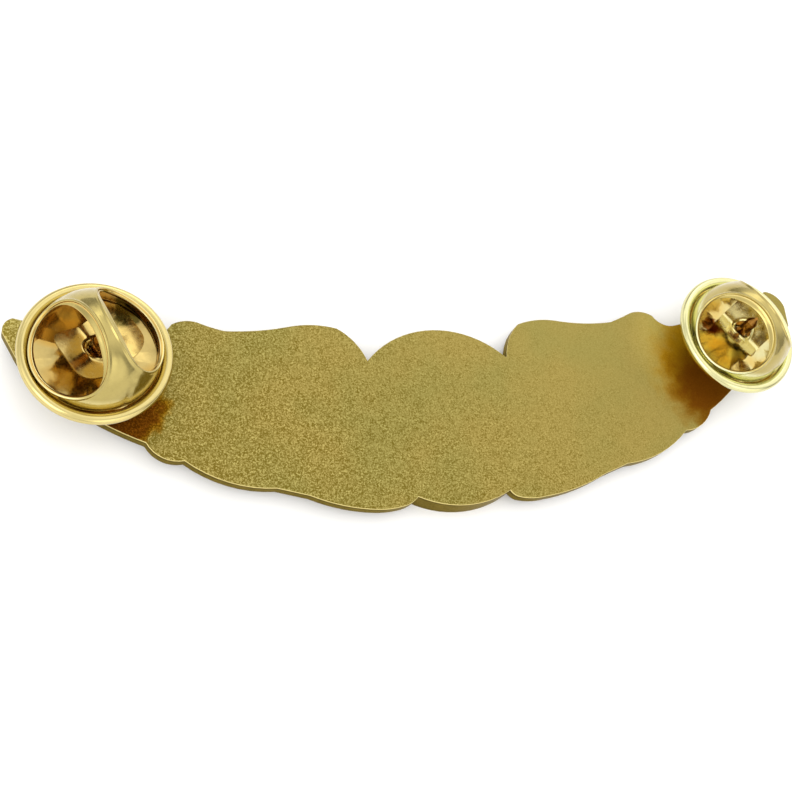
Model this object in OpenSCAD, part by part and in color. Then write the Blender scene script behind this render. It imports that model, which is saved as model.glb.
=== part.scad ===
// Wings badge lying face down, with two butterfly clutches on its posts.
// X runs along the badge, Y across it towards the wings' upper edge, Z out of its back.

/* [Badge plate] */
// Thickness of the badge at its centre boss
boss_t = 1.9; // [1.6:0.1:2.6]
// Thickness of the wings at their edge
wing_t = 0.9; // [0.7:0.1:1.2]
// Radius of the boss's upper edge
boss_top_r = 8.8; // [8.4:0.1:9.4]
// Radius of the boss's lower edge
boss_bottom_r = 8.9; // [8.4:0.1:9.4]
// Top of the boss above the line through the posts
boss_top_y = 2.4; // [2.2:0.1:2.8]
// Bottom of the boss below the line through the posts
boss_bottom_y = 13.2; // [12.8:0.1:13.6]
// How far the end of the left wing lies from the middle
left_tip_x = 34.9; // [34:0.1:36]
// How far the end of the right wing lies from the middle
right_tip_x = 37.1; // [36:0.1:38]

/* [Relief on the front] */
// Width of the raised rim round the boss
boss_rim_w = 1.1; // [0.8:0.1:1.6]
// Depth of the plain field inside the boss's rim
boss_field_d = 0.35; // [0.2:0.05:0.6]
// How far the long feathers stay behind the boss's face
feather_back = 0.45; // [0.3:0.05:0.6]
// Height step between neighbouring feathers
feather_step = 0.2; // [0.1:0.02:0.26]

/* [Posts] */
// Distance of each post from the middle of the badge
post_x = 28.6; // [28:0.1:29]
// Radius of a post
post_r = 0.5; // [0.45:0.05:0.6]
// Length of a post, from the badge's back to its point
post_len = 5.8; // [5.6:0.1:6.4]
// Radius of the solder round a post's foot
solder_r = 0.95; // [0.8:0.05:1.2]
// Height of the solder round a post's foot
solder_h = 0.3; // [0.2:0.05:0.4]

/* [Clutches] */
// Gap for the cloth between the badge's back and a clutch
cloth_gap = 2.2; // [2:0.1:2.4]
// Outer radius of a clutch, over its bead
clutch_r = 5.75; // [5.6:0.05:5.9]
// Radius of the rolled bead's own section
bead_r = 0.42; // [0.38:0.02:0.46]
// Thickness of the base's floor
floor_t = 0.35; // [0.3:0.05:0.4]
// Sliding clearance between a post and what slides on it
post_clear = 0.07; // [0.05:0.01:0.09]
// Thickness of the dome's sheet
sheet_t = 0.3; // [0.24:0.02:0.34]
// Turn of the left clutch, the way its nearer opening faces
left_turn = -160; // [-180:1:180]
// Turn of the right clutch, the way its nearer opening faces
right_turn = -154; // [-180:1:180]

/* [Clutch openings] */
// Half width of an opening, along the ridge
open_half_w = 3.79; // [3.6:0.05:3.9]
// Half height of an opening, up its slope
open_half_h = 3.3; // [3.1:0.05:3.4]
// Slope of an opening from the level
open_slope = 44.4; // [42:0.2:47]
// Distance of an opening's middle from the clutch's axis
open_out = 2.73; // [2.65:0.01:2.85]
// Height of an opening's middle above the base's underside
open_up = 3.34; // [3.25:0.01:3.45]
// How far an opening's two sides curve back from its plane
open_saddle = 0.84; // [0.7:0.02:0.95]
// How far the lip of an opening stands out from the sheet
lip_out = 0.2; // [0.1:0.02:0.22]
// Width of an opening's lip
lip_w = 0.26; // [0.2:0.02:0.4]
// Width of the ledge inside an opening's lip, under the ridge
ledge_w = 0.5; // [0.4:0.05:0.8]
// Height of the ridge's middle line above the base's underside
ridge_h = 5.5; // [5.45:0.01:5.6]

/* [Clutch spring] */
// Length of the spring along the ridge
spring_w = 4.4; // [3:0.1:4.4]
// How far each leaf of the spring reaches from the axis
spring_reach = 2.9; // [2.4:0.1:3]
// Turn of the spring against the ridge
spring_turn = 9; // [-10:1:10]
// Height of the leaves' outer edges above the base's underside
spring_top = 2.7; // [2.3:0.1:2.9]
// Thickness of the spring
spring_t = 0.22; // [0.18:0.02:0.3]

/* [Hidden] */
$fn = 96;
GOLD = "#b8a252";
BRIGHT = "#e8dc8c";
LAP = 0.2;
ARC_STEPS = 8;

// Collar round the bore in a clutch's floor
collar_r = 1.1;
collar_h = 0.75;

// Gap at the seats of the spring and the dome, and between the dome's foot and the bead
seat_gap = 0.02;
foot_gap = 0.12;

// Neck and point of a post, from the badge's back
neck_from = cloth_gap + collar_h;
neck_h = 0.45;
neck_to = neck_from + neck_h;
neck_r = post_r - 0.1;
point_h = 0.7;
tip_r = 0.15;

// The badge's box, which sets the origin under its middle
box_mid_x = (right_tip_x - left_tip_x) / 2;
box_mid_y = (clutch_r - boss_bottom_y) / 2;

// Edge of the right wing, seen from the back: from the boss outwards along its upper edge, round
// its end, and back along its lower edge. Columns: x, y, bulge of the arc to the next row
function right_edge() = [
    [6.46, -0.3, 0.32],
    [8.24, 2.75, 0.24],
    [12.04, 3.02, -0.2],
    [17.6, 2.76, -0.02],
    [19.84, 3.61, 0.26],
    [22.1, 3.28, -0.42],
    [24.28, 2.28, -0.35],
    [right_tip_x - 1.75, 5.58, 0.41],
    [right_tip_x, 3.92, 0],
    [right_tip_x - 0.2, 1.9, 0.3],
    [30.84, -2.16, 0.25],
    [25.54, -6.19, 0.5],
    [22.4, -7.97, 0.62],
    [15.63, -10.66, 0],
    [13.14, -11.45, 0.26],
    [7.14, -13.0, 0.14],
    [4.67, -12.83, 0.12],
    [3.94, -12.0, 0]
];
// Edge of the left wing, mirrored, with the same columns; its end is shorter
function left_edge() = [
    [6.3, -0.22, 0.32],
    [8.44, 2.75, 0.24],
    [12.52, 3.02, -0.16],
    [17.88, 2.76, -0.06],
    [20.0, 3.57, 0.22],
    [22.1, 3.44, -0.3],
    [24.3, 2.4, -0.35],
    [left_tip_x - 0.85, 4.25, 0.3],
    [left_tip_x, 3.05, 0],
    [left_tip_x - 0.85, 0.86, 0.3],
    [31.16, -2.4, 0.25],
    [25.18, -6.35, 0.54],
    [22.44, -7.97, 0.66],
    [15.59, -10.66, 0],
    [13.02, -11.45, 0.26],
    [7.66, -13.0, 0.1],
    [5.23, -12.83, 0.12],
    [3.94, -12.0, 0]
];

// Feathers on a wing's front. Columns: root x, root y, point x, point y, width, height step
FEATHERS = [
    [13.0, 0.4, 33.0, 1.5, 2.2, 0],
    [12.2, -0.8, 31.6, -0.6, 3.2, 1],
    [11.4, -2.2, 28.9, -3.1, 3.3, 0],
    [10.7, -3.6, 25.6, -5.4, 3.4, 1],
    [10.0, -5.0, 21.6, -7.7, 3.5, 0],
    [9.4, -6.2, 17.2, -9.2, 3.4, 1],
    [8.6, -7.2, 12.6, -10.9, 3.2, 0],
    [7.4, -7.6, 8.0, -12.2, 3.0, 1]
];
// Short feathers over the roots of the long ones, with the same columns
COVERTS = [
    [10.4, 1.2, 17.6, 1.5, 2.2, 0],
    [9.8, 0.0, 16.6, -0.5, 2.2, 1],
    [9.4, -1.3, 15.6, -2.4, 2.2, 0],
    [9.1, -2.6, 14.4, -4.3, 2.2, 1],
    [8.9, -4.0, 13.0, -6.1, 2.2, 0]
];

// Points of the arc from p to q that bulges by b to the left of the way; q is left out
function arc(p, q, b) =
    let (
        chord = norm(q - p),
        along = (q - p) / chord,
        side = [-along[1], along[0]],
        r = (chord * chord / 4 + b * b) / (2 * abs(b)),
        half = asin(min(1, chord / (2 * r))),
        middle = (p + q) / 2 - side * sign(b) * (r - abs(b))
    )
    [for (k = [0 : ARC_STEPS - 1])
        let (a = -half + 2 * half * k / ARC_STEPS)
        middle + side * sign(b) * r * cos(a) + along * r * sin(a)];

function edge(rows, last) =
    [for (k = [0 : len(rows) - 1])
        let (
            p = [rows[k][0], rows[k][1]],
            next = k < len(rows) - 1 ? rows[k + 1] : last,
            q = [next[0], next[1]],
            b = rows[k][2]
        )
        each (b == 0 ? [p] : arc(p, q, b))];

// Where a wing's outline closes, inside the boss
WING_ROOT_TOP = [0, -1.5];
WING_ROOT_LOW = [0, -11];

module wing_outline(rows) {
    polygon(concat([WING_ROOT_TOP], edge(rows, WING_ROOT_LOW), [WING_ROOT_LOW]));
}

module boss_outline(inset = 0) {
    intersection() {
        translate([0, boss_top_y - boss_top_r]) circle(r = boss_top_r - inset);
        translate([0, boss_bottom_r - boss_bottom_y]) circle(r = boss_bottom_r - inset);
    }
}

// Leaf shape from p to q, the common part of two discs
module leaf(p, q, w) {
    length = norm(q - p);
    r = (length * length / 4 + w * w / 4) / w;
    turn = atan2(q[1] - p[1], q[0] - p[0]);
    translate((p + q) / 2) rotate(turn) intersection() {
        translate([0, w / 2 - r]) circle(r = r);
        translate([0, r - w / 2]) circle(r = r);
    }
}

// Relief of one row of feathers; step 1 lies a little further back than step 0
module feather_row(rows, front) {
    for (f = rows) {
        z = front + f[5] * feather_step;
        translate([0, 0, z]) linear_extrude(boss_t - wing_t - z + LAP)
            leaf([f[0], f[1]], [f[2], f[3]], f[4]);
    }
}

module wing(rows) {
    translate([0, 0, boss_t - wing_t]) linear_extrude(wing_t) wing_outline(rows);
    feather_row(FEATHERS, feather_back);
    feather_row(COVERTS, 0);
}

module boss() {
    difference() {
        linear_extrude(boss_t) boss_outline();
        translate([0, 0, -LAP]) linear_extrude(boss_field_d + LAP) boss_outline(boss_rim_w);
    }
}

// Post with a neck where a clutch's spring grips it at home
module post() {
    point_z = post_len - point_h;
    cylinder(r = solder_r, h = solder_h);
    cylinder(r = post_r, h = neck_from);
    cylinder(r = neck_r, h = point_z);
    translate([0, 0, neck_to]) cylinder(r = post_r, h = point_z - neck_to);
    translate([0, 0, point_z]) cylinder(r1 = post_r, r2 = tip_r, h = point_h);
}

module wing_plate() {
    color(GOLD) translate([-box_mid_x, -box_mid_y, 0]) {
        boss();
        wing(right_edge());
        mirror([1, 0, 0]) wing(left_edge());
        for (side = [-1, 1]) translate([side * post_x, 0, boss_t]) post();
    }
}

// Puts a clutch's piece on its post, turned so that +X is the way its nearer opening faces
module on_post(side, turn) {
    translate([side * post_x - box_mid_x, -box_mid_y, boss_t + cloth_gap]) rotate(turn) children();
}

module clutch_base() {
    bore_r = post_r + post_clear;
    bead_mid = clutch_r - bead_r;
    color(BRIGHT) rotate_extrude() {
        translate([bore_r, 0]) square([bead_mid - bore_r, floor_t]);
        translate([bore_r, 0]) square([collar_r - bore_r, collar_h]);
        translate([bead_mid, bead_r]) circle(r = bead_r, $fn = 32);
    }
}

// Sheet folded to a shallow V that stands on the collar, with a hole for the post
module clutch_spring() {
    fold_z = collar_h + seat_gap;
    slope = atan2(spring_top - fold_z, spring_reach);
    leaf_len = norm([spring_top - fold_z, spring_reach]);
    color(BRIGHT) rotate(spring_turn) difference() {
        for (side = [0, 1]) mirror([side, 0, 0])
            translate([0, 0, fold_z]) rotate([0, -slope, 0])
                translate([-LAP, -spring_w / 2, 0]) cube([leaf_len + LAP, spring_w, spring_t]);
        cylinder(r = post_r + post_clear, h = ridge_h);
        translate([0, 0, fold_z - LAP]) cube([spring_reach, 2 * spring_w, 2 * LAP], center = true);
    }
}

// A clutch's dome is worked out for one opening, and its mirror image joins it along the ridge.
// Each place round the opening has a section. It runs over the dome from the foot or the ridge to
// the opening's lip, over the lip, along the ledge inside it, and back down the inside.
AROUND = 48;
FOOT_Z = floor_t + seat_gap;
FOOT_R = clutch_r - 2 * bead_r - foot_gap;
DOME_H = ridge_h - FOOT_Z;
RIDGE_FROM = 15;
RIDGE_TO = 33;
CORNER_A = -90 + 360 * RIDGE_FROM / AROUND;
SECTION = [0.25, 0.5, 0.72, 0.88];

// The dome's sheet is thickened towards this point
EYE = [0, 0, 0.9];

// Part of a section from which it leaves the dome for the lip
LEAVES_AT = 0.4;
// Part of the lip's width that its crest takes
LIP_EDGE = 0.7;
// Width of the ledge at the foot, how far it stands out under the ridge, and its thickness
LEDGE_MIN = 0.04;
LEDGE_OUT = 0.15;
LEDGE_T = 0.2;

function is_ridge(i) = i >= RIDGE_FROM && i <= RIDGE_TO;
function unit(v) = v / norm(v);
function smooth(t) = let (c = min(1, max(0, t))) c * c * (3 - 2 * c);
function angle_at(i) = -90 + 360 * i / AROUND;

// Point on the crest of an opening's lip
function crest(a) =
    let (back = open_saddle * cos(a) * cos(a))
    [
        open_out - open_half_h * sin(a) * cos(open_slope) - back * sin(open_slope),
        open_half_w * cos(a),
        open_up + open_half_h * sin(a) * sin(open_slope) - back * cos(open_slope)
    ];

// Way out of an opening, square to its plane
OUTWARD = [sin(open_slope), 0, cos(open_slope)];

// Point of the uncut dome that lies in a direction, and the direction of a point
function dome(d) = [FOOT_R * d[0], FOOT_R * d[1], FOOT_Z + DOME_H * d[2]];
function direction(p) = unit([p[0] / FOOT_R, p[1] / FOOT_R, (p[2] - FOOT_Z) / DOME_H]);

// Point on the foot circle or on the ridge's middle line, opposite crest(a)
function border(i) =
    let (
        a = angle_at(i),
        u = cos(a) / cos(CORNER_A),
        foot_turn = 90 * (a > 90 ? a - 270 : a + 90) / (CORNER_A + 90)
    )
    is_ridge(i)
        ? dome([0, u, sqrt(max(0, 1 - u * u))])
        : dome([cos(foot_turn), sin(foot_turn), 0]);

// Point of the section from border p to lip root q, which leaves the dome near its end
function skin(p, q, t) =
    dome(unit(direction(p) * (1 - t) + direction(q) * t))
        + (q - dome(direction(q))) * smooth((t - LEAVES_AT) / (1 - LEAVES_AT));

function inside(p) = p - unit(p - EYE) * sheet_t;
function level_in(p) =
    let (r = norm([p[0], p[1]]), k = (r - sheet_t) / r)
    [p[0] * k, p[1] * k, p[2]];

// Upper and lower edge of the ledge inside the lip, wide under the ridge and narrow at the foot
function ledge(a, lip_foot, hole) =
    let (
        near_ridge = smooth(sin(a)),
        end = lip_foot + unit(hole) * (LEDGE_MIN + ledge_w * near_ridge) + OUTWARD * LEDGE_OUT * near_ridge
    )
    [end, end - OUTWARD * LEDGE_T];

function section(i) =
    let (
        p = border(i),
        top = crest(angle_at(i)),
        q = top - OUTWARD * lip_out,
        hole = unit([open_out, 0, open_up] - top) * lip_w,
        up = [for (t = SECTION) skin(p, q, t)],
        down = [for (k = [len(SECTION) - 1 : -1 : 0]) inside(up[k])],
        lip = [q, top, top + hole * LIP_EDGE, q + hole],
        p_in = is_ridge(i) && i != RIDGE_FROM && i != RIDGE_TO ? inside(p) : level_in(p)
    )
    concat([p], up, lip, ledge(angle_at(i), q + hole, hole), down, [p_in]);

ROWS = 2 * len(SECTION) + 8;

function vertex(half, i, j) =
    let (
        k = i % AROUND,
        shared = half == 1 && is_ridge(k) && (j == 0 || j == ROWS - 1)
    )
    (shared ? 0 : half * AROUND * ROWS) + k * ROWS + j;

function facing(half, tri) = half == 0 ? tri : [tri[2], tri[1], tri[0]];

module clutch_shell() {
    one = [for (i = [0 : AROUND - 1]) each section(i)];
    other = [for (p = one) [-p[0], p[1], p[2]]];
    walls = [for (half = [0, 1], i = [0 : AROUND - 1], j = [0 : ROWS - 2])
        each [
            facing(half, [vertex(half, i, j), vertex(half, i, j + 1), vertex(half, i + 1, j + 1)]),
            facing(half, [vertex(half, i, j), vertex(half, i + 1, j + 1), vertex(half, i + 1, j)])
        ]];
    foot = [for (half = [0, 1], i = [0 : AROUND - 1])
        if (i < RIDGE_FROM || i >= RIDGE_TO) each [
            facing(half, [vertex(half, i, ROWS - 1), vertex(half, i, 0), vertex(half, i + 1, 0)]),
            facing(half,
                [vertex(half, i, ROWS - 1), vertex(half, i + 1, 0), vertex(half, i + 1, ROWS - 1)])
        ]];
    color(BRIGHT) polyhedron(points = concat(one, other), faces = concat(walls, foot));
}

wing_plate();
on_post(-1, left_turn) clutch_base();  // clutch_base_left
on_post(1, right_turn) clutch_base();  // clutch_base_right
on_post(-1, left_turn) clutch_shell();  // clutch_shell_left
on_post(1, right_turn) clutch_shell();  // clutch_shell_right
on_post(-1, left_turn) clutch_spring();  // clutch_spring_left
on_post(1, right_turn) clutch_spring();  // clutch_spring_right
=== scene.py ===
"""Wings badge that lies face down, with two butterfly clutches on its posts.

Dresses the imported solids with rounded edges, pressed sheet and gilt finishes, and sets them on a
pale floor under soft light. All lengths are in metres, in the solids' own frame.
"""

import math

import bmesh
import bpy
from mathutils import Matrix, Vector


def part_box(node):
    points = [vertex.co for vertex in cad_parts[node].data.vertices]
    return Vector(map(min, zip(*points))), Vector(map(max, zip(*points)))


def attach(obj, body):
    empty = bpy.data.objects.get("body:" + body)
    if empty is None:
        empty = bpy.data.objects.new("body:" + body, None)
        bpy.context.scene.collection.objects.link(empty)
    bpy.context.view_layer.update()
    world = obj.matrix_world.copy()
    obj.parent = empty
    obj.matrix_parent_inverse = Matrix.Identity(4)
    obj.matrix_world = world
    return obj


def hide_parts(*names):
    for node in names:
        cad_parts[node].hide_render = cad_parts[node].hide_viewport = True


bl_info = {
    "name": "Wings badge",
    "version": (1, 0, 0),
    "blender": (4, 5, 0),
    "location": "View3D > Sidebar > Badge",
    "description": "Dresses a wings badge and its two butterfly clutches, and lights them",
    "category": "Object",
}

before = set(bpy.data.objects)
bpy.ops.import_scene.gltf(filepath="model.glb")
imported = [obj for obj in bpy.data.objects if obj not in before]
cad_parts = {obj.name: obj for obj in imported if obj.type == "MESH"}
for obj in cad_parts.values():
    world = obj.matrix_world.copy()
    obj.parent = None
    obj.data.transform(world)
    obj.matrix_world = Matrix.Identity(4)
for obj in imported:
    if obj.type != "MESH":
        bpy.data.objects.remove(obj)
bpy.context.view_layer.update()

MM = 0.001
SIDES = ("left", "right")
WHITE = (1.0, 1.0, 1.0, 1.0)
BACK_Z = 1.9 * MM
SOLDER_TOP_Z = BACK_Z + 0.3 * MM


def linear(text):
    """An sRGB hex colour as linear red, green, blue and a full alpha."""
    values = [int(text[i : i + 2], 16) / 255 for i in (1, 3, 5)]
    straight = [v / 12.92 if v <= 0.04045 else ((v + 0.055) / 1.055) ** 2.4 for v in values]
    return (*straight, 1.0)


def times(colour, gains):
    """A colour with its red, green and blue times their gains, and a full alpha."""
    return (*(c * gain for c, gain in zip(colour, gains)), 1.0)


# ---- settings


class BadgePlateSettings(bpy.types.PropertyGroup):
    """Sizes and colours of the cast plate, its stains and painted shade and light, and its posts.
    """

    edge_round: bpy.props.FloatProperty(
        name="Edge rounding",
        description="Radius left on the plate's edges by tumbling",
        default=0.12 * MM,
        min=0.0,
        max=0.3 * MM,
        unit="LENGTH",
        precision=5,
    )
    grit: bpy.props.FloatProperty(
        name="Blast grit",
        description="Width of the pits that the sandblasting leaves",
        default=0.085 * MM,
        min=0.05 * MM,
        max=0.5 * MM,
        unit="LENGTH",
        precision=5,
    )
    back_light: bpy.props.FloatVectorProperty(
        name="Blasted gold, lit side of the grain",
        description="Reflected colour of the blasted gold where a pit faces the light",
        default=linear("#BDAE69"),
        size=4,
        min=0.0,
        max=1.0,
        subtype="COLOR",
    )
    back_dark: bpy.props.FloatVectorProperty(
        name="Blasted gold, dark side of the grain",
        description="Reflected colour of the blasted gold at the bottom of a pit",
        default=linear("#7D6C28"),
        size=4,
        min=0.0,
        max=1.0,
        subtype="COLOR",
    )
    # Painted shade: kept darker than the back, for the shade on the plate's sides and front
    edge_gold_painted_darker: bpy.props.FloatVectorProperty(
        name="Edge gold",
        description="Reflected colour of the plate's sides and of its front",
        default=linear("#766632"),
        size=4,
        min=0.0,
        max=1.0,
        subtype="COLOR",
    )
    # Partly burnish and partly a painted highlight on the back's rounded edge
    rim_burnish_and_highlight: bpy.props.FloatVectorProperty(
        name="Burnished rim",
        description="Reflected colour of the back's rounded edge, where wear has brightened it",
        default=linear("#DCCB88"),
        size=4,
        min=0.0,
        max=1.0,
        subtype="COLOR",
    )
    # Partly a stain from soldering, partly the clutches' shade and brown reflection painted on
    stain_and_painted_shade_core: bpy.props.FloatVectorProperty(
        name="Heat stain, inside",
        description="Tint of the brown stain that soldering leaves close round the posts",
        default=linear("#C1813F"),
        size=4,
        min=0.0,
        max=1.0,
        subtype="COLOR",
    )
    # Lighter than the stain alone: painted light where the clutches shade the back
    stain_and_painted_light_fringe: bpy.props.FloatVectorProperty(
        name="Heat stain, outside",
        description="Tint of the stain where it fades out",
        default=linear("#FFDA57"),
        size=4,
        min=0.0,
        max=1.0,
        subtype="COLOR",
    )
    post_colour: bpy.props.FloatVectorProperty(
        name="Posts",
        description="Reflected colour of the drawn posts, browned by soldering",
        default=linear("#9A6C30"),
        size=4,
        min=0.0,
        max=1.0,
        subtype="COLOR",
    )
    # Also scales the painted shade and light that go with the stains
    stain_and_shade_reach: bpy.props.FloatProperty(
        name="Heat stain reach",
        description="Reach of the heat stains round the posts, which scales all of them",
        default=6.9 * MM,
        min=4.0 * MM,
        max=12.0 * MM,
        unit="LENGTH",
        precision=5,
    )


class BadgeClutchSettings(bpy.types.PropertyGroup):
    """Sizes and colours of the two clutches."""

    gilt: bpy.props.FloatVectorProperty(
        name="Polished gilt",
        description="Reflected colour of a clutch's rolled bead",
        default=linear("#CFBD7C"),
        size=4,
        min=0.0,
        max=1.0,
        subtype="COLOR",
    )
    dome_gilt: bpy.props.FloatVectorProperty(
        name="Polished dome",
        description="Reflected colour of a clutch's dome, a little deeper than its bead's",
        default=linear("#B1A061"),
        size=4,
        min=0.0,
        max=1.0,
        subtype="COLOR",
    )
    inner_gilt: bpy.props.FloatVectorProperty(
        name="Inside of the dome",
        description="Reflected colour of a dome's inner side, which lights the clutch's inside",
        default=linear("#E8CD82"),
        size=4,
        min=0.0,
        max=1.0,
        subtype="COLOR",
    )
    spring_gilt: bpy.props.FloatVectorProperty(
        name="Polished spring",
        description="Reflected colour of a clutch's spring",
        default=linear("#DECB88"),
        size=4,
        min=0.0,
        max=1.0,
        subtype="COLOR",
    )
    floor_gilt: bpy.props.FloatVectorProperty(
        name="Pressed floor",
        description="Reflected colour of a clutch's floor",
        default=linear("#CFBF85"),
        size=4,
        min=0.0,
        max=1.0,
        subtype="COLOR",
    )
    # Painted light: lifts the shade in the groove between bead and dome
    groove_painted_light: bpy.props.FloatVectorProperty(
        name="Groove",
        description="Reflected colour of the fresh gold plate in the groove between bead and dome",
        default=linear("#D4C589"),
        size=4,
        min=0.0,
        max=1.0,
        subtype="COLOR",
    )
    thin_gilt: bpy.props.FloatVectorProperty(
        name="Thin gilt",
        description="Reflected colour of the floor's patches where the plating is thin and redder",
        default=linear("#CBAC62"),
        size=4,
        min=0.0,
        max=1.0,
        subtype="COLOR",
    )
    bead: bpy.props.FloatProperty(
        name="Bead radius",
        description="Radius of the rolled bead's own section",
        default=0.42 * MM,
        min=0.3 * MM,
        max=0.46 * MM,
        unit="LENGTH",
        precision=5,
    )
    floor: bpy.props.FloatProperty(
        name="Floor thickness",
        description="Thickness of a clutch's floor",
        default=0.35 * MM,
        min=0.25 * MM,
        max=0.35 * MM,
        unit="LENGTH",
        precision=5,
    )
    flute: bpy.props.FloatProperty(
        name="Flute depth",
        description="Depth of the radial flutes pressed into a clutch's floor",
        default=0.15 * MM,
        min=0.0,
        max=0.2 * MM,
        unit="LENGTH",
        precision=5,
    )
    bore: bpy.props.FloatProperty(
        name="Bore radius",
        description="Radius of the bore that runs on the post",
        default=0.57 * MM,
        min=0.55 * MM,
        max=0.6 * MM,
        unit="LENGTH",
        precision=5,
    )
    leaf_reach: bpy.props.FloatProperty(
        name="Leaf reach",
        description="How far each leaf of the spring reaches from the post's axis",
        default=2.9 * MM,
        min=2.4 * MM,
        max=3.0 * MM,
        unit="LENGTH",
        precision=5,
    )
    leaf_width: bpy.props.FloatProperty(
        name="Leaf width",
        description="Width of the spring along the ridge",
        default=4.4 * MM,
        min=3.0 * MM,
        max=4.4 * MM,
        unit="LENGTH",
        precision=5,
    )
    leaf_sheet: bpy.props.FloatProperty(
        name="Leaf thickness",
        description="Thickness of the spring's sheet",
        default=0.22 * MM,
        min=0.15 * MM,
        max=0.3 * MM,
        unit="LENGTH",
        precision=5,
    )


class BadgeStageSettings(bpy.types.PropertyGroup):
    """Floor, light and camera."""

    floor_colour: bpy.props.FloatVectorProperty(
        name="Floor",
        description="Colour of the pale floor",
        default=linear("#F8F7F5"),
        size=4,
        min=0.0,
        max=1.0,
        subtype="COLOR",
    )
    room: bpy.props.FloatProperty(
        name="Room light",
        description="Brightness of the room between its bright walls",
        default=0.55,
        min=0.0,
        max=5.0,
    )
    walls: bpy.props.FloatProperty(
        name="Bright walls",
        description="Brightness that the lit walls add to the room",
        default=0.8,
        min=0.0,
        max=5.0,
    )
    softbox: bpy.props.FloatProperty(
        name="Softbox",
        description="Power of the left softbox, which scales the other two",
        default=1.3,
        min=0.0,
        max=50.0,
        subtype="POWER",
    )
    lens: bpy.props.FloatProperty(
        name="Lens",
        description="Focal length, in millimetres, on a sensor 36 mm wide",
        default=57.87,
        min=20.0,
        max=200.0,
    )


# ---- nodes


def add(tree, kind, inputs=None, **settings):
    """Adds a node with its settings; each input is a value or the socket that feeds it."""
    made = tree.nodes.new(kind)
    for key, value in settings.items():
        setattr(made, key, value)
    for key, value in (inputs or {}).items():
        if isinstance(value, bpy.types.NodeSocket):
            tree.links.new(value, made.inputs[key])
        else:
            made.inputs[key].default_value = value
    return made


def noise(tree, place, width, detail, roughness=0.5):
    """A cloudy pattern, mostly from 0.35 to 0.65, whose features are about one width wide."""
    return add(
        tree,
        "ShaderNodeTexNoise",
        {"Vector": place, "Scale": 1 / width, "Detail": detail, "Roughness": roughness},
    ).outputs["Fac"]


def ramp(tree, value, low, high, start=0.0, end=1.0, **settings):
    """Runs from start to end while the value runs from low to high."""
    return add(
        tree,
        "ShaderNodeMapRange",
        {"Value": value, "From Min": low, "From Max": high, "To Min": start, "To Max": end},
        **settings,
    ).outputs["Result"]


def fade_out(tree, value, full, gone):
    """Is 1 up to the full value and falls softly to 0 at the gone one."""
    return ramp(tree, value, full, gone, 1.0, 0.0, interpolation_type="SMOOTHSTEP")


def calculate(tree, operation, *values):
    """The result of one step of arithmetic."""
    return add(tree, "ShaderNodeMath", dict(enumerate(values)), operation=operation).outputs[0]


def mix(tree, factor, under, over, blend_type="MIX"):
    """Two colours mixed by a factor."""
    return add(
        tree,
        "ShaderNodeMix",
        {"Factor": factor, "A": under, "B": over},
        data_type="RGBA",
        blend_type=blend_type,
    ).outputs["Result"]


def bump(tree, height, distance, strength, normal=None):
    """The normal of a surface with fine relief on it, or on an earlier relief."""
    inputs = {"Strength": strength, "Distance": distance, "Height": height}
    if normal:
        inputs["Normal"] = normal
    return add(tree, "ShaderNodeBump", inputs).outputs["Normal"]


def flat_distance(tree, place, x, y):
    """Distance of each place from an upright axis."""
    flat = add(tree, "ShaderNodeVectorMath", {0: place, 1: (1.0, 1.0, 0.0)}, operation="MULTIPLY")
    away = add(
        tree,
        "ShaderNodeVectorMath",
        {0: flat.outputs["Vector"], 1: (x, y, 0.0)},
        operation="DISTANCE",
    )
    return away.outputs["Value"]


def new_material(name):
    """An empty node material and its tree."""
    material = bpy.data.materials.new(name)
    material.use_nodes = True
    material.node_tree.nodes.clear()
    return material, material.node_tree


def object_place(tree):
    """Object coordinates of the shaded point."""
    return add(tree, "ShaderNodeTexCoord").outputs["Object"]


def end_in_surface(tree, inputs):
    """Ends a material's tree in a surface with these inputs."""
    shader = add(tree, "ShaderNodeBsdfPrincipled", inputs)
    add(tree, "ShaderNodeOutputMaterial", {"Surface": shader.outputs["BSDF"]})


def end_in_metal(tree, colour, rough, normal, grazing=WHITE):
    """Ends a material's tree in bare metal, with a tint for what it reflects at low angles."""
    end_in_surface(
        tree,
        {
            "Base Color": colour,
            "Metallic": 1.0,
            "Specular Tint": grazing,
            "Roughness": rough,
            "Normal": normal,
        },
    )


# ---- materials


# The blasted grain changes along this way over the back, between these two places on it, from
# coarse at the lower left to nearly smooth at the right
GRAIN_WAY = (1.0, 1.3, 0.0)
GRAIN_FROM, GRAIN_TO = -28 * MM, 17 * MM
COARSE_GRAIN, FINE_GRAIN = 1.6, 0.24
# Least and most that the grit has bitten from patch to patch
BITE_LEAST, BITE_MOST = 0.74, 1.22
# Level of the grain's two patterns together that lies midway between dark and lit, and how far
# from it either way the grain runs
GRAIN_MIDDLE = 1.1
GRAIN_SPAN = 0.36
# Tints of the gold in its darker and its lighter clouds
CLOUD_DARK = (0.9, 0.94, 0.93, 1.0)
CLOUD_LIGHT = (1.0, 0.97, 0.95, 1.0)
# How far clouds and blotches move the edge of a stain with its painted shade, and how much more
# the blotches do so
STAIN_AND_SHADE_RAGGED = 1.6 * MM
BLOTCH_SHARE = 1.7
# Stains round the posts, each partly a soldering stain and partly painted shade: the inner tint
# stands for the clutch's shade and brown reflection, and the outer one is painted light where the
# clutch shades the back. Side of the post, shift from it along X and Y in mm, shares of the
# stains' reach at which the stain is full and gone, and its tint
STAINS_AND_PAINTED_SHADE = (
    ("left", 0.6, -1.9, 0.66, 0.8, "stain_and_painted_light_fringe"),
    ("left", 0.8, -2.4, 0.52, 0.7, "stain_and_painted_shade_core"),
    ("right", -1.9, -2.4, 0.58, 1.05, "stain_and_painted_light_fringe"),
    ("right", -3.0, -4.0, 0.22, 0.74, "stain_and_painted_shade_core"),
)
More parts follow.
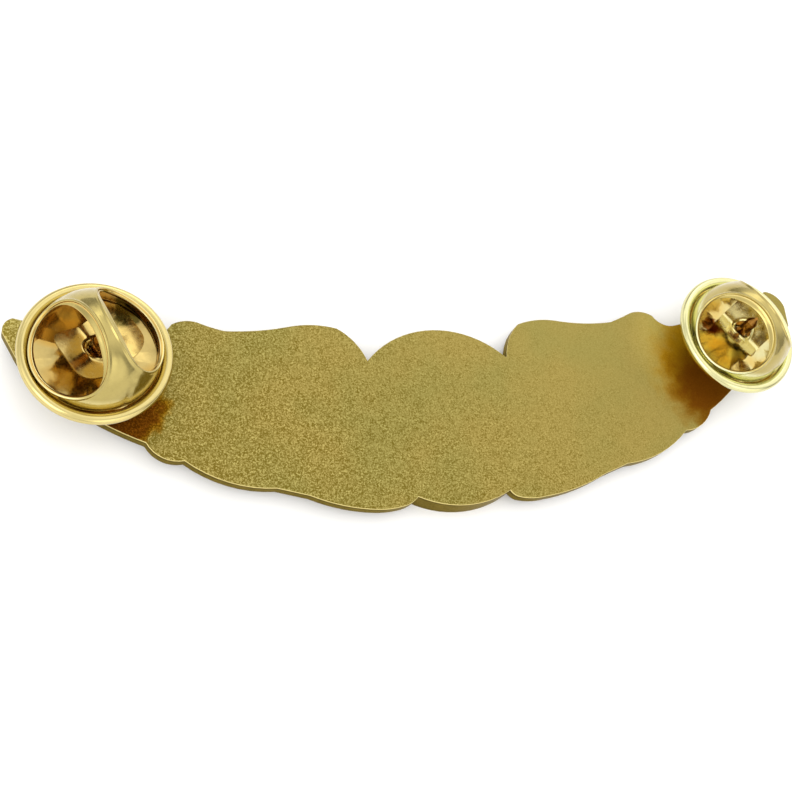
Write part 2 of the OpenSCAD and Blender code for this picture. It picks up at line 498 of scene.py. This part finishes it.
# Painted light on the back: spots made brighter where the clutches shade it. Side of the nearest
# post, shift from it along X and Y, radii at which the spot is full and gone, all in mm, and gains
# of its red, green and blue
PAINTED_LIGHT_SPOTS = (
    ("left", -6.0, 3.0, 1.5, 4.0, (1.45, 1.45, 1.6, 1.0)),
    ("right", -3.2, 0.0, 2.6, 7.2, (1.4, 1.4, 1.3, 1.0)),
)
# Roughness of the back, from the bottom of a pit to its lit side, and of the edge, from its
# smoothest to its most scuffed places
BACK_ROUGH = (0.68, 0.6)
EDGE_ROUGH = (0.24, 0.4)
# Tints of what the back and the edge reflect at low angles
BACK_GRAZING = (0.85, 0.75, 0.5, 1.0)
EDGE_GRAZING = (0.8, 0.72, 0.5, 1.0)
# Share of the edge's colour that its hollows keep
HOLLOW_SHARE = 0.75
# Heights between which the edge turns into the burnished rim with its painted highlight
RIM_FROM, RIM_TO = BACK_Z - 0.16 * MM, BACK_Z - 0.09 * MM
# Painted dark reflection line under the rim: its colour, its height on walls and on sides that
# face the wings' upper edge, how far from there it is full and gone, and how much of it the dents
# keep
PAINTED_DARK_LINE = linear("#3A2C10")
LINE_Z, UPPER_LINE_Z = BACK_Z - 0.2 * MM, BACK_Z - 0.06 * MM
LINE_FULL, LINE_GONE = 0.05 * MM, 0.16 * MM
LINE_KEPT = (0.85, 0.6)
# Shares of its own roughness that the polished sheet has where it is clearest and most hazy
HAZE_ROUGH = (0.8, 1.8)
# Share of its colour that the sheet keeps where it is most worn
WORN_SHARE = 0.86
# Radius of the groove between a clutch's bead and its dome, and how far to each side of it the
# painted light that lifts the groove's shade is full and gone
GROOVE = 4.84 * MM
GROOVE_FULL, GROOVE_GONE = 0.12 * MM, 0.36 * MM
# How far haze moves the edge of a patch of painted shade
PAINTED_SHADE_PATCHES_RAGGED = 1.2 * MM


def beside(post, shift_x, shift_y):
    """Place at a shift in mm from a post."""
    return post.x + shift_x * MM, post.y + shift_y * MM


def blasted_gold(name, settings, posts):
    """Gold plate over a sandblasted die casting.

    The grit leaves fine pits, so the eye sees a dull gold with a sparkling light and dark grain,
    a little patchy, coarser towards the left wing's lower edge and almost smooth at the right.
    Round the soldered posts it is brown in mottled patches, partly a stain from soldering and
    partly the clutches' shade and reflection painted on, with a lighter fringe and spots of painted
    light where the clutches shade it.
    """
    material, tree = new_material(name)
    place = object_place(tree)
    # One pit is as wide as the grit, and a sparkling patch is nearly twice as wide
    pits = noise(tree, place, settings.grit, 1.0)
    sparkle = noise(tree, place, settings.grit / 0.55, 1.0, 0.6)
    cloud = noise(tree, place, 6 * MM, 2.0)
    along = add(tree, "ShaderNodeVectorMath", {0: place, 1: GRAIN_WAY}, operation="DOT_PRODUCT")
    coarse = ramp(tree, along.outputs["Value"], GRAIN_FROM, GRAIN_TO, COARSE_GRAIN, FINE_GRAIN)
    # The grit has bitten harder in some patches than in others
    bite = noise(tree, place, 0.9 * MM, 2.0)
    harder = ramp(tree, bite, 0.38, 0.62, BITE_LEAST, BITE_MOST)
    depth = calculate(tree, "MULTIPLY", coarse, harder)
    both = calculate(tree, "ADD", pits, sparkle)
    centred = calculate(tree, "SUBTRACT", both, GRAIN_MIDDLE)
    scaled = calculate(tree, "MULTIPLY", centred, depth)
    grain = ramp(tree, scaled, -GRAIN_SPAN, GRAIN_SPAN)
    tone = mix(tree, grain, settings.back_dark, settings.back_light)
    shade = mix(tree, ramp(tree, cloud, 0.35, 0.65), CLOUD_DARK, CLOUD_LIGHT)
    tone = mix(tree, 1.0, tone, shade, "MULTIPLY")

    blotches = noise(tree, place, 1.1 * MM, 2.0)
    uneven = calculate(tree, "MULTIPLY_ADD", blotches, BLOTCH_SHARE, cloud)
    # Mean of what the uneven edge adds to a distance
    added = STAIN_AND_SHADE_RAGGED * (BLOTCH_SHARE + 1.0) / 2
    tint = WHITE
    # Painted shade and light: each tint is partly stain and partly the clutch's shade
    for side, shift_x, shift_y, full, gone, colour in STAINS_AND_PAINTED_SHADE:
        away = flat_distance(tree, place, *beside(posts[side], shift_x, shift_y))
        ragged = calculate(tree, "MULTIPLY_ADD", uneven, STAIN_AND_SHADE_RAGGED, away)
        reach = settings.stain_and_shade_reach
        stain_with_shade = fade_out(tree, ragged, reach * full + added, reach * gone + added)
        tint = mix(tree, stain_with_shade, tint, tuple(getattr(settings, colour)))
    tone = mix(tree, 1.0, tone, tint, "MULTIPLY")
    # Painted light: lifts the back where the clutches shade it
    for side, shift_x, shift_y, full, gone, gain in PAINTED_LIGHT_SPOTS:
        away = flat_distance(tree, place, *beside(posts[side], shift_x, shift_y))
        tone = mix(tree, fade_out(tree, away, full * MM, gone * MM), tone, gain, "MULTIPLY")

    rough = ramp(tree, grain, 0.0, 1.0, *BACK_ROUGH)
    relief = bump(tree, scaled, distance=0.02 * MM, strength=0.55)
    end_in_metal(tree, tone, rough, relief, BACK_GRAZING)
    return material


def tumbled_gold(name, colour, rim_burnish_and_highlight):
    """Gold plate over a cast and tumbled edge.

    Tumbling leaves it satin, with shallow dents and darker hollows, and burnishes the rounded edge
    of the back, which catches a bright broken line of light; its lighter colour there is partly
    burnish and partly a painted highlight. Under that edge lies a thin dark line of painted
    reflection. The whole edge is kept darker than the back as painted shade.
    """
    material, tree = new_material(name)
    place = object_place(tree)
    dents = noise(tree, place, 0.7 * MM, 3.0, 0.55)
    scuffs = noise(tree, place, 0.12 * MM, 2.0, 0.6)
    hollow = times(colour, (HOLLOW_SHARE,) * 3)
    tone = mix(tree, ramp(tree, dents, 0.32, 0.6), hollow, tuple(colour))

    height = add(tree, "ShaderNodeSeparateXYZ", {"Vector": place}).outputs["Z"]
    tone = mix(tree, ramp(tree, height, RIM_FROM, RIM_TO), tone, tuple(rim_burnish_and_highlight))

    # On sides that face the wings' upper edge the painted dark line lies higher, on the rounded
    # edge itself
    normal = add(tree, "ShaderNodeNewGeometry").outputs["Normal"]
    facing = add(tree, "ShaderNodeSeparateXYZ", {"Vector": normal}).outputs["Y"]
    line_z = ramp(tree, facing, 0.0, 0.3, LINE_Z, UPPER_LINE_Z)
    apart = calculate(tree, "ABSOLUTE", calculate(tree, "SUBTRACT", height, line_z))
    line = ramp(tree, apart, LINE_FULL, LINE_GONE, 1.0, 0.0)
    kept = ramp(tree, dents, 0.4, 0.62, *LINE_KEPT)
    tone = mix(tree, calculate(tree, "MULTIPLY", line, kept), tone, PAINTED_DARK_LINE)

    rough = ramp(tree, scuffs, 0.3, 0.7, *EDGE_ROUGH)
    fine = bump(tree, scuffs, distance=0.008 * MM, strength=0.3)
    relief = bump(tree, dents, distance=0.03 * MM, strength=0.4, normal=fine)
    end_in_metal(tree, tone, rough, relief, EDGE_GRAZING)
    return material


def polished_gilt_brass(name, colour, rough, dents, thin=None, groove=None, painted_shade=None):
    """Pressed brass sheet, polished and gold plated, with its roughness and its dents' depth.

    A near mirror with the ripple that pressing leaves, so reflections run in soft bands and
    patches, and light that bounces between its walls turns orange and brown. Where a colour for
    thin plating is given, redder patches show through the gold. Where a colour and an axis are
    given for the groove, the groove between bead and dome is painted paler, as painted light
    against its shade. Where painted shade is given, a dark patch of it lies at its place.
    """
    material, tree = new_material(name)
    place = object_place(tree)
    ripple = noise(tree, place, 1.6 * MM, 2.0)
    haze = noise(tree, place, 0.5 * MM, 3.0, 0.6)
    hazy = ramp(tree, haze, 0.35, 0.7, *(rough * share for share in HAZE_ROUGH))
    tone = mix(tree, haze, tuple(colour), times(colour, (WORN_SHARE,) * 3))
    if thin:
        bare = ramp(tree, noise(tree, place, 2.4 * MM, 1.0), 0.42, 0.58)
        tone = mix(tree, bare, tone, thin)
    # Painted light in the groove between bead and dome
    if groove:
        lightened, axis = groove
        away = flat_distance(tree, place, axis.x, axis.y)
        apart = calculate(tree, "ABSOLUTE", calculate(tree, "SUBTRACT", away, GROOVE))
        tone = mix(tree, fade_out(tree, apart, GROOVE_FULL, GROOVE_GONE), tone, lightened)
    # Painted shade: a dark patch multiplied into the colour
    if painted_shade:
        x, y, full, gone, tint = painted_shade
        away = flat_distance(tree, place, x, y)
        ragged = calculate(tree, "MULTIPLY_ADD", haze, PAINTED_SHADE_PATCHES_RAGGED, away)
        added = PAINTED_SHADE_PATCHES_RAGGED / 2
        tone = mix(tree, fade_out(tree, ragged, full + added, gone + added), tone, tint, "MULTIPLY")
    end_in_metal(tree, tone, hazy, bump(tree, ripple, distance=dents, strength=1.0))
    return material


def matte_board(name, colour):
    """Pale matt board: even and without gloss."""
    material, tree = new_material(name)
    end_in_surface(
        tree, {"Base Color": tuple(colour), "Roughness": 0.9, "Specular IOR Level": 0.1}
    )
    return material


# ---- meshes


# Turns of the two clutches on their posts, and of the spring in its clutch
CLUTCH_TURN = {"left": math.radians(-160), "right": math.radians(-154)}
LEAF_TURN = math.radians(9)
# Gains of red, green and blue inside each clutch: painted shade makes the left one's inside
# darker and redder, and painted light makes the right one's paler
CLUTCH_INSIDE_LIGHT_AND_SHADE = {"left": (0.77, 0.69, 0.54), "right": (0.95, 1.02, 1.12)}
# Gains of red, green and blue that paint light on each clutch's bead and groove, paler and
# brighter on the right one
RING_PAINTED_LIGHT = {"left": (1.0, 1.0, 1.0), "right": (1.1, 1.27, 1.65)}
# Painted shade inside the clutches, as dark patches: place from the post along X and Y, radii at
# which the patch is full and gone, all in mm, and its tint
PAINTED_SHADE_PATCHES = {
    ("floor", "left"): (2.6, 3.3, 0.9, 1.5, (0.17, 0.18, 0.11, 1.0)),
    ("leaf", "left"): (2.1, 2.2, 0.6, 1.4, (0.17, 0.18, 0.11, 1.0)),
    ("floor", "right"): (-2.5, 0.9, 0.6, 1.1, (0.3, 0.12, 0.03, 1.0)),
}

# Points closer than this are one, in a solid and in a spun profile
SOLID_MERGE = 0.0004 * MM
SPUN_MERGE = 0.001 * MM
# Facets of the plate that turn by less than this are one face
FLAT_ANGLE = math.radians(0.6)
# Pairs of the dome's triangles become quads up to this turn and this skew
QUAD_TURN, QUAD_SKEW = math.radians(60), math.radians(80)
# Faces of the plate within this height of a level lie on it
LEVEL = 0.002 * MM
# A face is level above the first share of its normal along Z, and a side below the second
LEVEL_NORMAL, SIDE_NORMAL = 0.99, 0.3
# The bases stay inside their solids' box by this much, and are spun in this many steps
BASE_MARGIN = 0.003 * MM
BASE_STEPS = 160
# Degrees between points round the bead
BEAD_STEP = 15
# Radius and height of the collar round the bore
COLLAR = 1.1 * MM
COLLAR_TOP = 0.75 * MM
# Flutes in a clutch's floor: number, radii where they begin and end, and how steeply they fade in
# and out between these
FLUTES = 10
FLUTE_FROM, FLUTE_TO = 2.3 * MM, 4.8 * MM
FLUTE_IN, FLUTE_OUT = 2.5, 5.0
# Spring: points round it, cuts from its hole to its edge, power of its rounded rectangle, softness
# of its fold, and radius, width and height of the ring that is pressed up round its hole
LEAF_POINTS = 96
LEAF_CUTS = 24
LEAF_POWER = 5
FOLD_SOFTNESS = 0.02
RING, RING_WIDTH, RING_HEIGHT = 0.86 * MM, 0.16 * MM, 0.2 * MM


def solid_copy(node):
    """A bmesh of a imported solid, with its loose triangles joined."""
    bm = bmesh.new()
    bm.from_mesh(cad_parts[node].data)
    bmesh.ops.remove_doubles(bm, verts=bm.verts, dist=SOLID_MERGE)
    return bm


def finish_piece(name, bm, materials, body, node, sharp=35.0):
    """Makes a piece's object, soft shaded up to the sharp angle, and puts it on its body."""
    mesh = bpy.data.meshes.new(name)
    bm.to_mesh(mesh)
    bm.free()
    for material in materials:
        mesh.materials.append(material)
    mesh.polygons.foreach_set("use_smooth", [True] * len(mesh.polygons))
    mesh.set_sharp_from_angle(angle=math.radians(sharp))
    piece = bpy.data.objects.new(name, mesh)
    bpy.context.scene.collection.objects.link(piece)
    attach(piece, body)
    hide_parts(node)
    return piece


def clutch_place(side):
    """Foot of a clutch's axis, from the box of its packed base."""
    low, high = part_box(f"clutch_base_{side}")
    return Vector(((low.x + high.x) / 2, (low.y + high.y) / 2, low.z))


def painted_shade_on(part, side):
    """Place, radii and tint of the painted shade on a clutch's part, where it has some."""
    if (part, side) not in PAINTED_SHADE_PATCHES:
        return None
    shift_x, shift_y, full, gone, tint = PAINTED_SHADE_PATCHES[part, side]
    return *beside(clutch_place(side), shift_x, shift_y), full * MM, gone * MM, tint


def put_on_post(bm, side):
    """Turns and moves a clutch's piece from its own axis onto its post."""
    matrix = Matrix.Translation(clutch_place(side)) @ Matrix.Rotation(CLUTCH_TURN[side], 4, "Z")
    bmesh.ops.transform(bm, matrix=matrix, verts=bm.verts)


def ring_profile(bm, points):
    """Closed profile of edges in the XZ plane, from points of radius and height."""
    verts = [bm.verts.new((r, 0.0, z)) for r, z in points]
    return [bm.edges.new((a, b)) for a, b in zip(verts, verts[1:] + verts[:1])]


def base_profile(settings, mid):
    """Radius and height of the points on a base's profile: up round the bead, then inward."""
    bead = [
        (
            mid + settings.bead * math.cos(math.radians(a)),
            settings.bead * (1 + math.sin(math.radians(a))),
        )
        for a in range(-90, 215, BEAD_STEP)
    ]
    floor = [
        (mid - settings.bead - 0.02 * MM, settings.floor + 0.03 * MM),
        (mid - settings.bead - 0.1 * MM, settings.floor),
        *((r * MM, settings.floor) for r in (4.5, 3.9, 3.3, 2.7, 2.3)),
        (1.75 * MM, settings.floor + 0.04 * MM),
        (1.4 * MM, settings.floor + 0.16 * MM),
    ]
    collar = [
        (COLLAR + 0.06 * MM, settings.floor + 0.26 * MM),
        (COLLAR - 0.02 * MM, COLLAR_TOP - 0.07 * MM),
        (COLLAR - 0.1 * MM, COLLAR_TOP - 0.015 * MM),
        (COLLAR - 0.22 * MM, COLLAR_TOP),
        (settings.bore + 0.1 * MM, COLLAR_TOP - 0.01 * MM),
        (settings.bore + 0.02 * MM, COLLAR_TOP - 0.06 * MM),
        (settings.bore, COLLAR_TOP - 0.15 * MM),
        (settings.bore, 0.1 * MM),
        (settings.bore + 0.1 * MM, 0.0),
    ]
    return bead + floor + collar


def flute_depth(place, depth):
    """Depth of the pressed flutes at a place on the floor: straight creases that fade both ways."""
    across = math.atan2(place.y, place.x) * FLUTES / math.tau % 1.0
    part = (place.xy.length - FLUTE_FROM) / (FLUTE_TO - FLUTE_FROM)
    from_start = min(1.0, max(0.0, part * FLUTE_IN))
    to_end = min(1.0, max(0.0, (1.0 - part) * FLUTE_OUT))
    return depth * (1.0 - abs(2.0 * across - 1.0)) * from_start * to_end


# ---- operators


class BADGE_OT_plate(bpy.types.Operator):
    """Rounds the cast plate's edges and gives its back, sides, front and posts their finishes"""

    bl_idname = "badge.plate"
    bl_label = "Badge plate"

    def execute(self, context):
        settings = context.scene.badge_plate
        bm = solid_copy("wing_plate")
        bmesh.ops.dissolve_limit(
            bm, angle_limit=FLAT_ANGLE, verts=bm.verts, edges=bm.edges, delimit={"NORMAL"}
        )

        def is_back(face):
            level = abs(face.calc_center_median().z - BACK_Z) < LEVEL
            return face.normal.z > LEVEL_NORMAL and level

        def is_side(face):
            return abs(face.normal.z) < SIDE_NORMAL and face.calc_center_median().z < BACK_Z

        back_edges = [
            e
            for e in bm.edges
            if len(e.link_faces) == 2
            and any(is_side(f) for f in e.link_faces)
            and any(is_back(f) for f in e.link_faces)
            and e.is_convex
            and e.calc_length() > LEVEL
        ]
        bmesh.ops.bevel(
            bm,
            geom=back_edges,
            offset=settings.edge_round,
            offset_type="OFFSET",
            segments=3,
            profile=0.5,
            affect="EDGES",
            clamp_overlap=True,
            material=-1,
        )
        bm.normal_update()
        for face in bm.faces:
            if is_back(face):
                face.material_index = 0
            elif face.calc_center_median().z > SOLDER_TOP_Z - LEVEL:
                face.material_index = 2
            else:
                face.material_index = 1
        posts = {side: clutch_place(side) for side in SIDES}
        materials = [
            blasted_gold("sandblasted gold plate", settings, posts),
            tumbled_gold("tumbled gold plate", settings.edge_gold_painted_darker, settings.rim_burnish_and_highlight),
            polished_gilt_brass(
                "drawn gilt brass post", settings.post_colour, rough=0.15, dents=0.01 * MM
            ),
        ]
        piece = finish_piece("badge_plate", bm, materials, "badge", "wing_plate")
        flatten = piece.modifiers.new("flat faces stay flat", "WEIGHTED_NORMAL")
        flatten.mode = "FACE_AREA"
        flatten.weight = 100
        flatten.keep_sharp = True
        return {"FINISHED"}


class BADGE_OT_clutch_bases(bpy.types.Operator):
    """Turns each clutch's base: rolled bead, floor and the collar round the bore"""

    bl_idname = "badge.clutch_bases"
    bl_label = "Clutch bases"

    def execute(self, context):
        settings = context.scene.badge_clutch
        for side in SIDES:
            # Painted light: the bead and its groove are paler and brighter on the right clutch
            gilt = polished_gilt_brass(
                f"polished gilt brass bead {side}",
                times(settings.gilt, RING_PAINTED_LIGHT[side]),
                rough=0.12,
                dents=0.01 * MM,
                groove=(times(settings.groove_painted_light, RING_PAINTED_LIGHT[side]), clutch_place(side)),
            )
            # The floor's colour carries painted shade and light inside the clutch
            pressed = polished_gilt_brass(
                f"pressed gilt brass floor {side}",
                times(settings.floor_gilt, CLUTCH_INSIDE_LIGHT_AND_SHADE[side]),
                rough=0.12,
                dents=0.03 * MM,
                thin=times(settings.thin_gilt, CLUTCH_INSIDE_LIGHT_AND_SHADE[side]),
                painted_shade=painted_shade_on("floor", side),
            )
            low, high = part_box(f"clutch_base_{side}")
            mid = (high.x - low.x) / 2 - BASE_MARGIN - settings.bead
            top = high.z - low.z
            points = [(r, min(z, top)) for r, z in base_profile(settings, mid)]
            bm = bmesh.new()
            edges = ring_profile(bm, points)
            bmesh.ops.spin(
                bm,
                geom=edges,
                cent=(0, 0, 0),
                axis=(0, 0, 1),
                dvec=(0, 0, 0),
                angle=math.tau,
                steps=BASE_STEPS,
                use_merge=True,
            )
            bmesh.ops.remove_doubles(bm, verts=bm.verts, dist=SPUN_MERGE)
            for vert in bm.verts:
                if abs(vert.co.z - settings.floor) < SPUN_MERGE:
                    vert.co.z -= flute_depth(vert.co, settings.flute)
            bmesh.ops.recalc_face_normals(bm, faces=bm.faces)
            for face in bm.faces:
                inside = face.calc_center_median().xy.length < mid - settings.bead
                face.material_index = int(inside and face.normal.z > 0)
            put_on_post(bm, side)
            finish_piece(
                f"clutch_base_skin_{side}",
                bm,
                [gilt, pressed],
                f"clutch_{side}",
                f"clutch_base_{side}",
                sharp=50.0,
            )
        return {"FINISHED"}


class BADGE_OT_clutch_shells(bpy.types.Operator):
    """Smooths each clutch's pressed dome with its two lipped openings"""

    bl_idname = "badge.clutch_shells"
    bl_label = "Clutch domes"

    def execute(self, context):
        settings = context.scene.badge_clutch
        for side in SIDES:
            foot = clutch_place(side)
            # The dome's groove is painted lighter too, as painted light against its shade
            gilt = polished_gilt_brass(
                f"polished gilt brass dome {side}",
                settings.dome_gilt,
                rough=0.15,
                dents=0.01 * MM,
                groove=(times(settings.groove_painted_light, RING_PAINTED_LIGHT[side]), foot),
            )
            # The dome's inside carries painted shade and light too
            inner = polished_gilt_brass(
                f"pressed gilt brass inside {side}",
                times(settings.inner_gilt, CLUTCH_INSIDE_LIGHT_AND_SHADE[side]),
                rough=0.15,
                dents=0.01 * MM,
            )
            bm = solid_copy(f"clutch_shell_{side}")
            bmesh.ops.join_triangles(
                bm,
                faces=bm.faces,
                angle_face_threshold=QUAD_TURN,
                angle_shape_threshold=QUAD_SKEW,
            )
            for face in bm.faces:
                outward = (face.calc_center_median() - foot).dot(face.normal)
                face.material_index = int(outward < 0)
            piece = finish_piece(
                f"clutch_dome_{side}",
                bm,
                [gilt, inner],
                f"clutch_{side}",
                f"clutch_shell_{side}",
                sharp=180.0,
            )
            smooth = piece.modifiers.new("pressed sheet", "SUBSURF")
            smooth.levels = smooth.render_levels = 2
        return {"FINISHED"}


class BADGE_OT_clutch_springs(bpy.types.Operator):
    """Bends each clutch's spring to a shallow V that grips the post"""

    bl_idname = "badge.clutch_springs"
    bl_label = "Clutch springs"

    def execute(self, context):
        settings = context.scene.badge_clutch
        for side in SIDES:
            # The spring's colour carries painted shade and light inside the clutch
            gilt = polished_gilt_brass(
                f"polished gilt brass spring {side}",
                times(settings.spring_gilt, CLUTCH_INSIDE_LIGHT_AND_SHADE[side]),
                rough=0.16,
                dents=0.015 * MM,
                painted_shade=painted_shade_on("leaf", side),
            )
            low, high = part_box(f"clutch_spring_{side}")
            fold = low.z - clutch_place(side).z
            rise = high.z - low.z - settings.leaf_sheet
            bm = bmesh.new()
            hole, rim = (
                bmesh.ops.create_circle(bm, segments=LEAF_POINTS, radius=radius)["verts"]
                for radius in (settings.bore + 0.03 * MM, 1.0)
            )
            for vert in rim:
                x, y = vert.co.x, vert.co.y
                reach = (abs(x) ** LEAF_POWER + abs(y) ** LEAF_POWER) ** (1 / LEAF_POWER)
                vert.co = (
                    x / reach * settings.leaf_reach,
                    y / reach * settings.leaf_width / 2,
                    0.0,
                )
            loops = list({e for v in hole + rim for e in v.link_edges})
            spokes = bmesh.ops.bridge_loops(bm, edges=loops)["edges"]
            bmesh.ops.subdivide_edges(bm, edges=spokes, cuts=LEAF_CUTS)
            bmesh.ops.recalc_face_normals(bm, faces=bm.faces)
            start, end = math.sqrt(FOLD_SOFTNESS), math.sqrt(1 + FOLD_SOFTNESS)
            for vert in bm.verts:
                reach = abs(vert.co.x) / settings.leaf_reach
                bent = (math.sqrt(reach * reach + FOLD_SOFTNESS) - start) / (end - start)
                apart = (vert.co.xy.length - RING) / RING_WIDTH
                vert.co.z = fold + rise * bent + RING_HEIGHT * math.exp(-apart * apart)
            if sum(f.normal.z for f in bm.faces) < 0:
                bmesh.ops.reverse_faces(bm, faces=bm.faces)
            bmesh.ops.solidify(bm, geom=bm.faces[:], thickness=-settings.leaf_sheet)
            bmesh.ops.recalc_face_normals(bm, faces=bm.faces)
            bmesh.ops.transform(bm, matrix=Matrix.Rotation(LEAF_TURN, 4, "Z"), verts=bm.verts)
            put_on_post(bm, side)
            finish_piece(
                f"clutch_leaf_{side}",
                bm,
                [gilt],
                f"clutch_{side}",
                f"clutch_spring_{side}",
                sharp=40.0,
            )
        return {"FINISHED"}


# Half of the floor's width
FLOOR_HALF = 1.5
# Lit walls of the room: the way to each, cosines at its edge and where it is full, and its share
LIT_WALLS = (
    ((-0.45, -0.5, 0.74), 0.45, 0.9, 0.9),
    ((0.6, 0.4, 0.66), 0.5, 0.92, 1.3),
    ((-0.75, 0.5, 0.42), 0.7, 0.95, 0.6),
    ((-0.88, -0.3, 0.3), 0.75, 0.96, 0.6),
    ((0.37, -0.85, 0.33), 0.82, 0.96, 1.4),
)
# Softboxes: name, share of the power, size and place
SOFTBOXES = (
    ("softbox_left", 1.0, 0.45, (-0.55, -0.3, 0.65)),
    ("softbox_right", 0.5, 0.5, (0.25, 0.7, 0.55)),
    ("softbox_back", 0.25, 0.4, (-0.2, 0.6, 0.5)),
)
# The photo's camera: its place and the ways to its right, up and back
CAMERA_PLACE = Vector((-0.044238, -0.036304, 0.092844))
CAMERA_TURN = Matrix(
    (
        (0.92791405, -0.17951382, 0.32672664),
        (0.04275209, 0.92188591, 0.3850956),
        (-0.37033467, -0.34336737, 0.86310549),
    )
).transposed()
SENSOR_MM = 36.0
SEEN_FROM, SEEN_TO = 0.005, 10.0


class BADGE_OT_stage(bpy.types.Operator):
    """Lays the pale floor, lights it softly and places the camera"""

    bl_idname = "badge.stage"
    bl_label = "Floor, light and camera"

    def execute(self, context):
        settings = context.scene.badge_stage
        scene = context.scene
        scene.view_settings.view_transform = "Standard"

        bm = bmesh.new()
        bmesh.ops.create_grid(bm, x_segments=1, y_segments=1, size=FLOOR_HALF)
        mesh = bpy.data.meshes.new("floor")
        bm.to_mesh(mesh)
        bm.free()
        mesh.materials.append(matte_board("matt white board", settings.floor_colour))
        floor = bpy.data.objects.new("floor", mesh)
        scene.collection.objects.link(floor)

        world = bpy.data.worlds.new("light tent")
        world.use_nodes = True
        tree = world.node_tree
        tree.nodes.clear()
        way = add(tree, "ShaderNodeTexCoord").outputs["Generated"]
        level = settings.room
        for toward, edge, full, share in LIT_WALLS:
            near = add(
                tree,
                "ShaderNodeVectorMath",
                {0: way, 1: Vector(toward).normalized()},
                operation="DOT_PRODUCT",
            )
            glow = ramp(
                tree,
                near.outputs["Value"],
                edge,
                full,
                0.0,
                settings.walls * share,
                interpolation_type="SMOOTHSTEP",
            )
            level = calculate(tree, "ADD", glow, level)
        # Behind the floor the camera sees plain white
        seen = add(tree, "ShaderNodeLightPath").outputs["Is Camera Ray"]
        shown = calculate(tree, "MAXIMUM", level, seen)
        sky = add(tree, "ShaderNodeBackground", {"Color": WHITE, "Strength": shown})
        add(tree, "ShaderNodeOutputWorld", {"Surface": sky.outputs["Background"]})
        scene.world = world

        for name, power, size, place in SOFTBOXES:
            light = bpy.data.lights.new(name, "AREA")
            light.shape = "SQUARE"
            light.size = size
            light.energy = settings.softbox * power
            lamp = bpy.data.objects.new(name, light)
            lamp.location = place
            lamp.rotation_euler = (-Vector(place)).to_track_quat("-Z", "Y").to_euler()
            scene.collection.objects.link(lamp)

        data = bpy.data.cameras.new("camera")
        data.sensor_width = SENSOR_MM
        data.lens = settings.lens
        data.clip_start = SEEN_FROM
        data.clip_end = SEEN_TO
        camera = bpy.data.objects.new("camera", data)
        camera.matrix_world = Matrix.Translation(CAMERA_PLACE) @ CAMERA_TURN.to_4x4()
        scene.collection.objects.link(camera)
        scene.camera = camera
        return {"FINISHED"}


# Each group of settings, by its name on the scene, with the steps that read it
GROUPS = {
    "badge_plate": (BadgePlateSettings, (BADGE_OT_plate,)),
    "badge_clutch": (
        BadgeClutchSettings,
        (BADGE_OT_clutch_bases, BADGE_OT_clutch_shells, BADGE_OT_clutch_springs),
    ),
    "badge_stage": (BadgeStageSettings, (BADGE_OT_stage,)),
}


class BADGE_PT_panel(bpy.types.Panel):
    """Sidebar panel with every step and its settings"""

    bl_idname = "BADGE_PT_panel"
    bl_label = "Wings badge"
    bl_space_type = "VIEW_3D"
    bl_region_type = "UI"
    bl_category = "Badge"

    def draw(self, context):
        for name, (_, steps) in GROUPS.items():
            box = self.layout.box()
            settings = getattr(context.scene, name)
            for key in settings.__annotations__:
                box.prop(settings, key)
            for step in steps:
                box.operator(step.bl_idname)


def register():
    for name, (group, steps) in GROUPS.items():
        bpy.utils.register_class(group)
        setattr(bpy.types.Scene, name, bpy.props.PointerProperty(type=group))
        for step in steps:
            bpy.utils.register_class(step)
    bpy.utils.register_class(BADGE_PT_panel)


def unregister():
    bpy.utils.unregister_class(BADGE_PT_panel)
    for name, (group, steps) in reversed(GROUPS.items()):
        for step in reversed(steps):
            bpy.utils.unregister_class(step)
        delattr(bpy.types.Scene, name)
        bpy.utils.unregister_class(group)


def main():
    register()
    bpy.ops.badge.plate()
    bpy.ops.badge.clutch_bases()
    bpy.ops.badge.clutch_shells()
    bpy.ops.badge.clutch_springs()
    bpy.ops.badge.stage()


if __name__ == "__main__":
    main()
